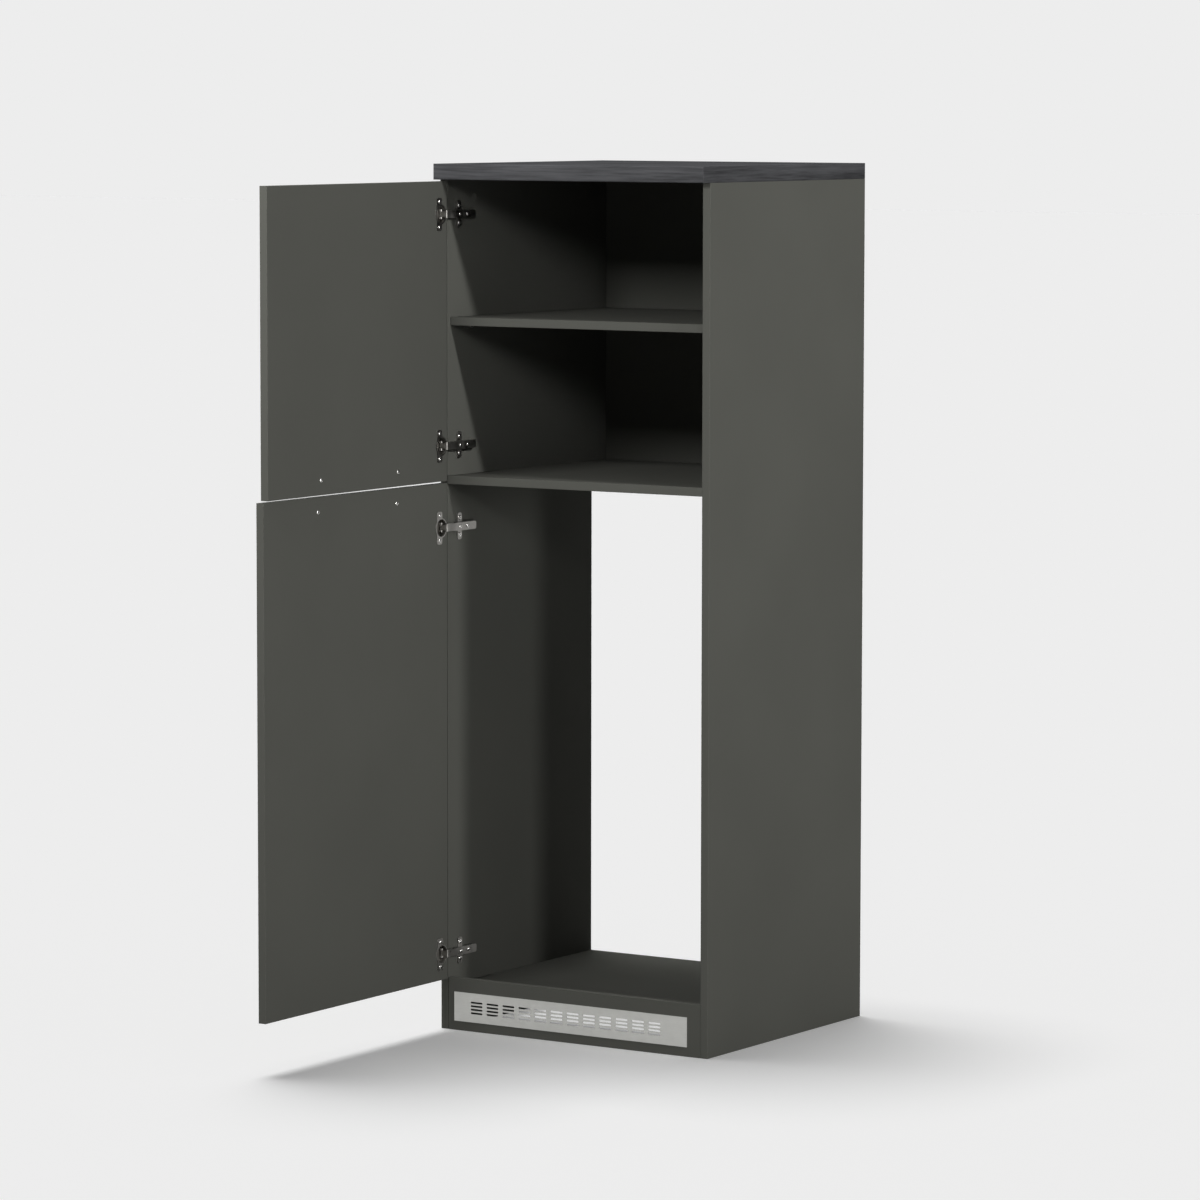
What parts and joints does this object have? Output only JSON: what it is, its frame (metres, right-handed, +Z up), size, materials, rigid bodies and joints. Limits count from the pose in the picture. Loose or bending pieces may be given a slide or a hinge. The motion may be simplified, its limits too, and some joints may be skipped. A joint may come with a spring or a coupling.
{
  "type": "tall fridge housing cabinet",
  "caption": "Tall fridge housing cabinet: open-backed appliance niche below a shelved compartment, side-hung doors on concealed hinges, thick top board, plinth with ventilation grille.",
  "frame": {"origin": "on the floor, in the middle of the carcass front plane, at the plinth's lower front edge", "axes": "+X to the right seen from the front, +Y to the back, +Z up"},
  "size_m": [0.6337, 1.1604, 1.65],
  "materials": {
    "board": "matte graphite melamine",
    "top_decor": "dark grey wood-decor laminate",
    "grille_metal": "satin",
    "handle_metal": "satin",
    "plated_steel": "bright nickel plating",
    "zinc": "bare cast zinc",
    "cap_plastic": "graphite cover caps",
    "dowel_wood": "bare beech"
  },
  "bodies": {
    "carcass": {"adjustable_shelf": "board", "back_panel_screws": "plated_steel", "fixed_shelf": "board", "fixed_shelf_cams": "zinc", "fixed_shelf_connecting_bolts": "plated_steel", "fixed_shelf_dowels": "dowel_wood", "floor_panel": "board", "floor_panel_cams": "zinc", "floor_panel_connecting_bolts": "plated_steel", "floor_panel_dowels": "dowel_wood", "left_side_panel": "board", "lower_door_bottom_hinge_arm": "plated_steel", "lower_door_bottom_hinge_arm_screws": "plated_steel", "lower_door_bottom_hinge_mounting_plate": "plated_steel", "lower_door_bottom_hinge_plate_screws": "plated_steel", "lower_door_top_hinge_arm": "plated_steel", "lower_door_top_hinge_arm_screws": "plated_steel", "lower_door_top_hinge_mounting_plate": "plated_steel", "lower_door_top_hinge_plate_screws": "plated_steel", "plinth_board": "board", "plinth_dowels": "dowel_wood", "right_side_panel": "board", "shelf_supports": "plated_steel", "top_board": "top_decor", "top_board_cam_caps": "cap_plastic", "top_board_cams": "zinc", "top_board_connecting_bolts": "plated_steel", "top_board_dowels": "dowel_wood", "upper_back_panel": "board", "upper_door_bottom_hinge_arm": "plated_steel", "upper_door_bottom_hinge_arm_screws": "plated_steel", "upper_door_bottom_hinge_mounting_plate": "plated_steel", "upper_door_bottom_hinge_plate_screws": "plated_steel", "upper_door_top_hinge_arm": "plated_steel", "upper_door_top_hinge_arm_screws": "plated_steel", "upper_door_top_hinge_mounting_plate": "plated_steel", "upper_door_top_hinge_plate_screws": "plated_steel", "ventilation_grille": "grille_metal"},
    "upper_door": {"upper_door": "board", "upper_door_bottom_hinge_cup": "plated_steel", "upper_door_bottom_hinge_cup_screws": "plated_steel", "upper_door_bottom_hinge_pin": "plated_steel", "upper_door_handle": "handle_metal", "upper_door_handle_screws": "plated_steel", "upper_door_top_hinge_cup": "plated_steel", "upper_door_top_hinge_cup_screws": "plated_steel", "upper_door_top_hinge_pin": "plated_steel"},
    "lower_door": {"lower_door": "board", "lower_door_bottom_hinge_cup": "plated_steel", "lower_door_bottom_hinge_cup_screws": "plated_steel", "lower_door_bottom_hinge_pin": "plated_steel", "lower_door_handle": "handle_metal", "lower_door_handle_screws": "plated_steel", "lower_door_top_hinge_cup": "plated_steel", "lower_door_top_hinge_cup_screws": "plated_steel", "lower_door_top_hinge_pin": "plated_steel"}
  },
  "joints": [
    {"name": "upper_door_swing", "type": "hinge", "parent": "carcass", "child": "upper_door", "pos_m": [-0.2905, -0.0119, 1.334], "axis": [0, 0, 1], "range_deg": [-7, 88]},
    {"name": "lower_door_swing", "type": "hinge", "parent": "carcass", "child": "lower_door", "pos_m": [-0.2905, -0.0119, 0.5725], "axis": [0, 0, 1], "range_deg": [-6, 89]}
  ]
}
